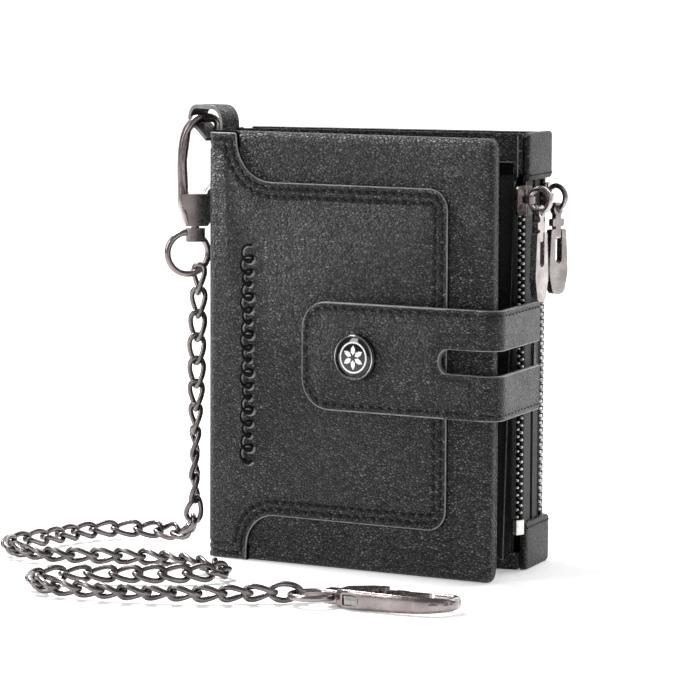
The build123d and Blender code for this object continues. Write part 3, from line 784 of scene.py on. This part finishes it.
def make_overlay():
    """The bracket-shaped leather sewn over the cover and round the spine, with two rows of stitches."""
    cuts = [-3.0 + 0.35 * k for k in range(20)]
    overlay = relief("cover_overlay", OVERLAY_CORNERS, OVERLAY_RADII, OVERLAY_RINGS, FRONT, "front",
                     cuts=cuts, bend=round_spine)
    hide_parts("front_overlay")
    for index, seam in enumerate(SEAMS):
        line = [p for p in ring_line(OVERLAY_CORNERS, OVERLAY_RADII, seam) if p[0] > 3.4]
        start = next(i for i in range(len(line)) if line[i][1] < 20 and line[i - 1][1] > 100)
        line = line[start:] + line[:start]
        stitches("cover_stitches_" + str(index), [line], FRONT, "front", height=OVERLAY - 0.18, closed=False,
                 pitch=2.9, length=2.2)


def make_spine_fold():
    """The same leather where it folds from the spine round onto the back."""
    bend = 2.2
    flat = [(-48.5, 5.6, 0), (-48.5, 11.9, 0), (-40.5, 11.9, 0)]
    path = smooth_path(flat, [bend], steps=10)
    path = [path[0].lerp(path[1], k / 4) for k in range(4)] + path[1:]
    normals = side_normals(path)
    half = COVER_HEIGHT / 2
    loop = [(a + half, b) for a, b in section_loop(half, 1.1, 0.4)]
    outward = [-n if n.dot(Vector((-1, 0.6, 0))) < 0 else n for n in normals]
    path = [p - n * 0.55 for p, n in zip(path, outward)]
    fold = ribbon("spine_fold", path, outward, loop, "front", (0, 0, 1), ride=False)
    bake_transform(fold)


BACK_FACE = 11.0  # the back's outer face, from the frame's middle
BACK_THICK = 1.6


def make_back():
    """Leather of the back with its sewn overlay."""
    low, high, radii = 0.2, BLOCK_HEIGHT - 0.2, [2.4, 0.6, 0.6, 2.4]
    place = TURNED @ Matrix.Translation((0, -BACK_FACE + BACK_THICK, 0))
    back = relief("back_leather", rectangle(-44.6, 45.6, low, high), radii,
                  profile(BACK_THICK, edge=0.6, seams=(1.8,), groove=0.2), place, "pouches")
    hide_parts("back_cover")
    place = TURNED @ Matrix.Translation((0, -BACK_FACE, 0))
    corners = rectangle(-38.0, 34.0, OVERLAY_LOW, OVERLAY_HIGH)
    # same rings as the front overlay: painted shadow round the patch and painted highlight on its rim
    overlay = relief("back_patch", corners, [6.0] * 4, OVERLAY_RINGS, place, "pouches")
    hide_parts("back_overlay")
    for index, seam in enumerate(SEAMS):
        stitches("back_stitches_" + str(index), [ring_line(corners, [6.0] * 4, seam)], place, "pouches",
                 height=OVERLAY - 0.18)
    edge = ring_line(rectangle(-44.6, 38.6, low, high), radii, 1.8)
    stitches("back_edge_stitches", [edge], place, "pouches", height=-0.12)


make_cover()
make_overlay()
make_spine_fold()
make_back()


# ---- Ornament pressed into the spine side of the cover ----
def make_ornament():
    """A running line of loops, coloured near-black, partly the deboss's own colour and partly painted shade
    in its groove, with a pale copy set beside it as a painted highlight on the pressed edge. It holds no
    letters.
    """
    low, high, middle = 29.2, 91.4, 13.2
    turns, steps = 17, 24
    loop = (high - low) / turns
    route, widths = [], []
    for n in range(turns * steps + 1):
        angle = 2 * math.pi * n / steps
        swell = 0.8 + 0.2 * math.sin(angle / 3.0)
        x = middle + 2.2 * swell * math.cos(angle)
        z = low + loop * angle / (2 * math.pi) - 1.75 * swell * math.sin(angle)
        route.append((x, z))
        widths.append(0.4 + 0.34 * (0.5 + 0.5 * math.sin(angle + 0.7)))
    # the second layer is a pale copy shifted to one side: painted highlight along the scrolls' edge
    layers = (("pressed_scrolls", 0.0, 0.0, PRESSED_AND_SHADE), ("scroll_highlights", 0.34, 0.16, CUT_EDGE_AND_HIGHLIGHT))
    for name, shift, depth, material in layers:
        points, faces = [], []
        line = [Vector((x + shift, depth - OVERLAY, z - shift * 0.7)) for x, z in route]
        tube(points, faces, line, widths, sides=8)
        make_piece(name, [FRONT @ p for p in points], faces, "front", (material,), sharp=70)


make_ornament()

# ---- Strap ----
STRAP_THICK = 1.6
STRAP_MID = -2.8  # its middle, in front of the cover's leather
STRAP_JOIN = 91.6  # where the tab's leather meets the prongs'
STRAP_X = 47.5  # the middle of the strap where it runs along the open side
STRAP_ROOT_Y = -3.6
TAB_SEAM = 1.7  # the tab's row of stitches, from its edge
TAB_END = 33.6  # the tab's free end, and where the slot between the prongs starts
TAB_SLOT = 79.6


def local_cover(u, y, z=0.0):
    """A place given in the front cover's axes."""
    return FRONT @ Vector((u, y, z))


def fold_corner():
    """Where the middle of the strap's side meets the middle of its front."""
    ahead = (STRAP_X - SPINE[0] - STRAP_MID * math.sin(AJAR)) / math.cos(AJAR)
    return local_cover(ahead, STRAP_MID)


def make_strap():
    """Two prongs that come round from the open side, and the tab that they end in."""
    corner = fold_corner()
    for index, (low, high) in enumerate(((STRAP_LOW, SLOT_LOW), (SLOT_HIGH, STRAP_HIGH))):
        route = [Vector((STRAP_X, STRAP_ROOT_Y - 1.0, 0)), corner, local_cover(STRAP_JOIN, STRAP_MID)]
        path = smooth_path(route, [4.2], steps=18)
        lengthened = [path[0].lerp(path[1], k / 10) for k in range(10)]
        path = lengthened + path[1:]
        normals = side_normals(path)
        outward = [n if n.dot(Vector((1, -1, 0))) > 0 else -n for n in normals]
        half = (high - low) / 2
        loop = [(a + (low + high) / 2, b) for a, b in section_loop(half, STRAP_THICK, 0.55, steps=4)]
        prong = ribbon("strap_prong_" + "ab"[index], path, outward, loop, None, (0, 0, 1), ride=False)
        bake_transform(prong)
        edge = STRAP_HIGH - 1.6 if index else STRAP_LOW + 1.6
        seam = thread_on_path(path, outward, edge, "prong_stitches_" + "ab"[index])
        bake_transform(seam)
    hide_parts("strap_side", "strap_front")
    corners = [(TAB_END, STRAP_LOW), (STRAP_JOIN, STRAP_LOW), (STRAP_JOIN, SLOT_LOW),
               (TAB_SLOT, SLOT_LOW), (TAB_SLOT, SLOT_HIGH), (STRAP_JOIN, SLOT_HIGH),
               (STRAP_JOIN, STRAP_HIGH), (TAB_END, STRAP_HIGH)]
    radii = [9.0, 0.05, 0.05, 3.2, 3.2, 0.05, 0.05, 8.0]
    place = FRONT @ Matrix.Translation((0, STRAP_MID + STRAP_THICK / 2, 0))
    cuts = [76.03 + 0.7 * k for k in range(12)]
    rings = profile(STRAP_THICK, edge=0.4, seams=(TAB_SEAM,), groove=0.15)
    tab = relief("strap_tab_leather", corners, radii, rings, place, None, cuts=cuts, ride=False)
    for face in tab.data.polygons:
        ahead = (FRONT.inverted() @ (face.center / MM)).x
        if ahead > STRAP_JOIN - 0.3 or (ahead > TAB_SLOT + 2 and abs(face.normal.z) < 0.5):
            face.material_index = 0
    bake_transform(tab)
    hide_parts("strap_tab")
    line = [(x, z) for x, z in ring_line(corners, radii, TAB_SEAM)
            if x < STRAP_JOIN - 0.4 and not (SLOT_LOW - 3 < z < SLOT_HIGH + 3 and x > 60)]
    start = next(i for i in range(len(line)) if line[i][1] > 70 and line[i - 1][1] < 50)
    line = line[start:] + line[:start]
    seam = stitches("tab_stitches", [line], place, None, height=STRAP_THICK - 0.12, closed=False, ride=False,
                    pitch=3.1)
    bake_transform(seam)


def thread_on_path(path, outward, z, name):
    """A row of stitches along the outside of a bent strap."""
    points, faces = [], []
    base = [p + n * (STRAP_THICK / 2 - 0.1) + Vector((0, 0, z)) for p, n in zip(path, outward)]
    for centre, along in resample(base, 3.1, False):
        out = along.cross(Vector((0, 0, 1)))
        out = out if out.dot(Vector((1, -1, 0))) > 0 else -out
        add_stitch(points, faces, centre, along, Vector((0, 0, 1)), out, length=2.3, width=0.62)
    seam = make_piece(name, points, faces, None, (THREAD,), sharp=60)
    fix_normals(seam.data)
    return seam


make_strap()


# ---- Zips ----
ZIPS = {"a": ((44.6, -12.4), -30.0), "b": ((45.4, 5.6), 0.0)}  # each zip's place, and how far it turns
TOOTH_PITCH = 2.1
TOOTH_SIDE = 0.72  # from the zip's middle to the middle of a tooth
TOOTH_HALF = (1.0, 0.6, 0.5)  # half of a tooth's depth, width and height


def make_zip(letter):
    """Two staggered rows of rounded metal teeth, each on a woven bead."""
    (x, y), turn = ZIPS[letter]
    place = Matrix.Translation((x, y, 0)) @ Matrix.Rotation(math.radians(turn), 4, "Z")
    low, high = (corner[2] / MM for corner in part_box("zip_%s_teeth" % letter))
    points, faces = [], []
    rows, around = 6, 8
    deep, wide, tall = TOOTH_HALF
    for side in (-1, 1):
        z = low + 0.6 + (TOOTH_PITCH / 2 if side > 0 else 0)
        while z < high - 0.4:
            start = len(points)
            for r in range(rows + 1):
                polar = math.pi * (0.04 + 0.92 * r / rows)
                for s in range(around):
                    angle = 2 * math.pi * s / around
                    size = math.sin(polar) ** 0.7
                    points.append(place @ Vector((-0.15 + deep * math.cos(polar),
                                                  side * TOOTH_SIDE + wide * size * math.cos(angle),
                                                  z + tall * size * math.sin(angle))))
            join_rings(faces, start, rows + 1, around)
            faces.append(tuple(range(start, start + around)))
            faces.append(tuple(range(start + rows * around, start + (rows + 1) * around)))
            z += TOOTH_PITCH
    beads = make_piece("zip_%s_beads" % letter, points, faces, "pouches", (SILVER,), sharp=60)
    fix_normals(beads.data)
    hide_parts("zip_%s_teeth" % letter)
    lines = []
    for side in (-1, 1):
        for reach, back in ((1.45, -0.2), (2.0, -0.45)):
            route = [place @ Vector((back, side * reach, low + (high - low) * k / 8)) for k in range(9)]
            lines.append((route, 0.42))
    tubes("zip_%s_cord" % letter, lines, "pouches", TAPE)


for letter in ZIPS:
    make_zip(letter)


# ---- Pouches' leather edges on the open side ----
def make_caps():
    """The capped ends of the zips: grained leather, with a near-black line along the turned hem as painted
    shade in its fold.
    """
    caps = (("end_cap_top", BLOCK_HEIGHT - 13.4, BLOCK_HEIGHT, BLOCK_HEIGHT - 11.9),
            ("end_cap_bottom", 0.0, 13.6, 12.1))
    for name, low, high, hem_z in caps:
        place = Matrix.Translation((46.1, 0, 0)) @ Matrix.Rotation(math.pi / 2, 4, "Z")
        rings = [(0.2, -1.1, 0), (0.0, -0.6, 0), (0.05, 0.1, 0), (0.35, 0.45, 0), (0.9, 0.62, 0),
                 (1.8, 0.72, 0)]
        relief(name + "_leather", rectangle(-11.2, 11.6, low, high), [1.3] * 4, rings, place, "pouches",
               materials=(INNER_LEATHER,))
        hem = [(46.78, -10.6 + 21.4 * k / 8, hem_z) for k in range(9)]
        # near-black tube along the hem: painted shade
        tubes(name + "_hem", [(hem, 0.22)], "pouches", PRESSED_AND_SHADE)


def make_inner_edges():
    """The pale cut edges, stitches and card slot seen between the cover and the front zip."""
    edges = (([(42.9, -12.75, 111.6), (41.6, -12.75, 60.0), (40.2, -12.75, 3.0)], 0.2),
             ([(43.6, -12.6, 124.4), (43.6, -12.6, 112.6)], 0.16),
             ([(36.0, -12.6, 116.9), (42.4, -12.6, 116.9)], 0.16))
    tubes("inner_cut_edges", edges, "pouches", CUT_EDGE_AND_HIGHLIGHT)
    place = Matrix.Translation((0, -12.45, 0))
    rings = [(0.0, 0.0, 0), (0.0, 0.06, 0)]
    # the card slot is a near-black sheet on the panel: painted shade in the slot's mouth
    relief("card_slot", rectangle(36.0, 42.2, 113.4, 116.5), [0.4] * 4, rings, place, "pouches",
           materials=(PRESSED_AND_SHADE,))
    lines = [[(36.2, 112.6), (42.6, 112.6)], [(41.9, 123.6), (41.9, 118.2)]]
    stitches("inner_stitches", lines, place, "pouches", height=0.1, pitch=1.7, length=1.1, width=0.5,
             closed=False)


make_caps()
make_inner_edges()

# ---- Leather loop that holds the chain ----
LOOP_PLACE = Matrix.Translation((-55.0, -7.1, 0)) @ Matrix.Rotation(math.radians(151), 4, "Z")
LOOP_WIDTH = 6.6


def make_loop():
    """A strip that stands on the spine's top and bends over to hold the upper clasp."""
    corners = [(-13.2, 0, 121.5), (-12.6, 0, 131.0), (2.2, 0, 131.0), (1.6, 0, 127.0), (-6.0, 0, 121.6)]
    path = smooth_path(corners, [4.6, 3.2, 1.4], steps=12)
    across = LOOP_PLACE.to_3x3() @ Vector((0, 1, 0))
    path = [LOOP_PLACE @ p for p in path]
    normals = side_normals(path, across)
    loop = ribbon("loop_leather", path, normals, section_loop(LOOP_WIDTH / 2, 1.3, 0.35), "front", across)
    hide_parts("chain_loop")


make_loop()


# ---- Press stud's cap ----
def lathe(name, outline_points, place, body, material, steps=64, ring=True):
    """A turned piece: (radius, out) pairs spun about the place's -Y, a ring or a closed dome."""
    points, faces = [], []
    for radius, out in outline_points:
        for s in range(steps):
            angle = 2 * math.pi * s / steps
            points.append(place @ Vector((radius * math.cos(angle), -out, radius * math.sin(angle))))
    rings = len(outline_points)
    join_rings(faces, 0, rings, steps, wrap=ring)
    if not ring:
        faces.append(tuple(range((rings - 1) * steps, rings * steps)))
        faces.append(tuple(reversed(range(steps))))
    piece = make_piece(name, points, faces, body, (material,), sharp=40)
    fix_normals(piece.data)
    return piece


def make_snap():
    """The press stud's cap: a turned rim, an enamel dome, and on it a band and six plain petals."""
    face = FRONT @ Matrix.Translation((SNAP[0], STRAP_MID - STRAP_THICK / 2, SNAP[1]))
    rim = [(3.0, -0.2), (6.4, -0.2), (6.75, 0.1), (6.85, 0.6), (6.75, 1.15), (6.45, 1.5), (6.05, 1.62),
           (5.75, 1.5), (5.6, 1.2), (5.55, 0.9), (3.0, 0.9)]
    cap = lathe("snap_rim", rim, face, "strap_tab", DARK_METAL)
    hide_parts("snap_cap")
    dome = [(5.6, 0.85), (5.58, 1.15), (5.0, 1.36), (4.0, 1.5), (2.6, 1.6), (1.2, 1.64), (0.3, 1.65)]
    inlay = lathe("snap_enamel", dome, face, "strap_tab", ENAMEL, ring=False)
    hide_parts("snap_inlay")
    line = [(6.05, 1.5), (6.2, 1.72), (6.36, 1.5)]
    lathe("snap_line", line, face, "strap_tab", SILVER)
    band = [(4.05, 1.4), (4.05, 1.62), (4.5, 1.58), (4.5, 1.3)]
    lathe("snap_band", band, face, "strap_tab", WHITE_ENAMEL)
    points, faces = [], []
    petals = 6
    for k in range(petals):
        turn = math.pi / 2 + 2 * math.pi * k / petals
        tip, waist = 3.5, 0.7
        start = len(points)
        for distance, half in ((0.7, 0.0), (1.5, waist), (2.6, waist * 0.9), (tip, 0.0)):
            for side in ((1,) if half == 0 else (1, -1)):
                x = distance * math.cos(turn) - side * half * math.sin(turn)
                z = distance * math.sin(turn) + side * half * math.cos(turn)
                rise = 1.72 - 0.012 * distance * distance
                points.append(face @ Vector((x, -rise, z)))
        a, b, c, d, e, f = range(start, start + 6)
        faces += [(a, c, b), (b, c, e, d), (d, e, f)]
    motif = make_piece("snap_motif", points, faces, "strap_tab", (WHITE_ENAMEL,))
    fix_normals(motif.data)


make_snap()

# ---- Floor and light ----
FLOOR = plain("floor", 0.86, 0.9, 0.7, scale=4.0)
FLOOR_GLOW = 0.3
FLOOR_FRONT, FLOOR_SIDE = -1600.0, 2600.0
BACKDROP_START, BACKDROP_RADIUS, BACKDROP_TOP = 900.0, 500.0, 2600.0
WORLD_LIGHT = 0.3

floor_inputs = FLOOR.node_tree.nodes["Principled BSDF"].inputs
floor_inputs["Emission Color"].default_value = (1.0, 1.0, 1.0, 1.0)
floor_inputs["Emission Strength"].default_value = FLOOR_GLOW


def make_floor():
    """A pale floor that curves up into the backdrop."""
    points, faces = [], []
    profile_line = [(FLOOR_FRONT, -0.05), (BACKDROP_START, -0.05)]
    for k in range(1, 13):
        angle = k * math.pi / 24
        profile_line.append((BACKDROP_START + BACKDROP_RADIUS * math.sin(angle),
                             BACKDROP_RADIUS * (1 - math.cos(angle))))
    profile_line.append((BACKDROP_START + BACKDROP_RADIUS, BACKDROP_TOP))
    for y, z in profile_line:
        points += [(-FLOOR_SIDE, y, z), (FLOOR_SIDE, y, z)]
    for k in range(len(profile_line) - 1):
        faces.append((2 * k, 2 * k + 1, 2 * k + 3, 2 * k + 2))
    mesh = bpy.data.meshes.new("floor")
    mesh.from_pydata([Vector(p) * MM for p in points], [], faces)
    mesh.materials.append(FLOOR)
    mesh.polygons.foreach_set("use_smooth", [True] * len(mesh.polygons))
    place_object("floor", mesh)


def area_light(name, place, size, power, target=(0.0, -0.02, 0.06)):
    data = bpy.data.lights.new(name, "AREA")
    data.shape = "RECTANGLE"
    data.size, data.size_y = size
    data.energy = power
    light = place_object(name, data)
    light.location = place
    direction = Vector(target) - Vector(place)
    light.rotation_euler = direction.to_track_quat("-Z", "Y").to_euler()


make_floor()
area_light("top", (-0.55, 0.2, 0.85), (0.32, 0.32), 15.0)
area_light("front", (-0.8, -0.8, 0.55), (0.3, 0.6), 5.5)
area_light("side", (0.9, -0.3, 0.3), (0.25, 0.8), 1.0)
area_light("back", (0.3, 1.2, 1.0), (1.4, 0.8), 16.0, target=(0.1, 0.8, 0.0))
world = bpy.data.worlds.new("world")
world.use_nodes = True
world.node_tree.nodes["Background"].inputs["Color"].default_value = (1.0, 1.0, 1.0, 1.0)
world.node_tree.nodes["Background"].inputs["Strength"].default_value = WORLD_LIGHT
bpy.context.scene.world = world
bpy.context.scene.view_settings.view_transform = "Standard"
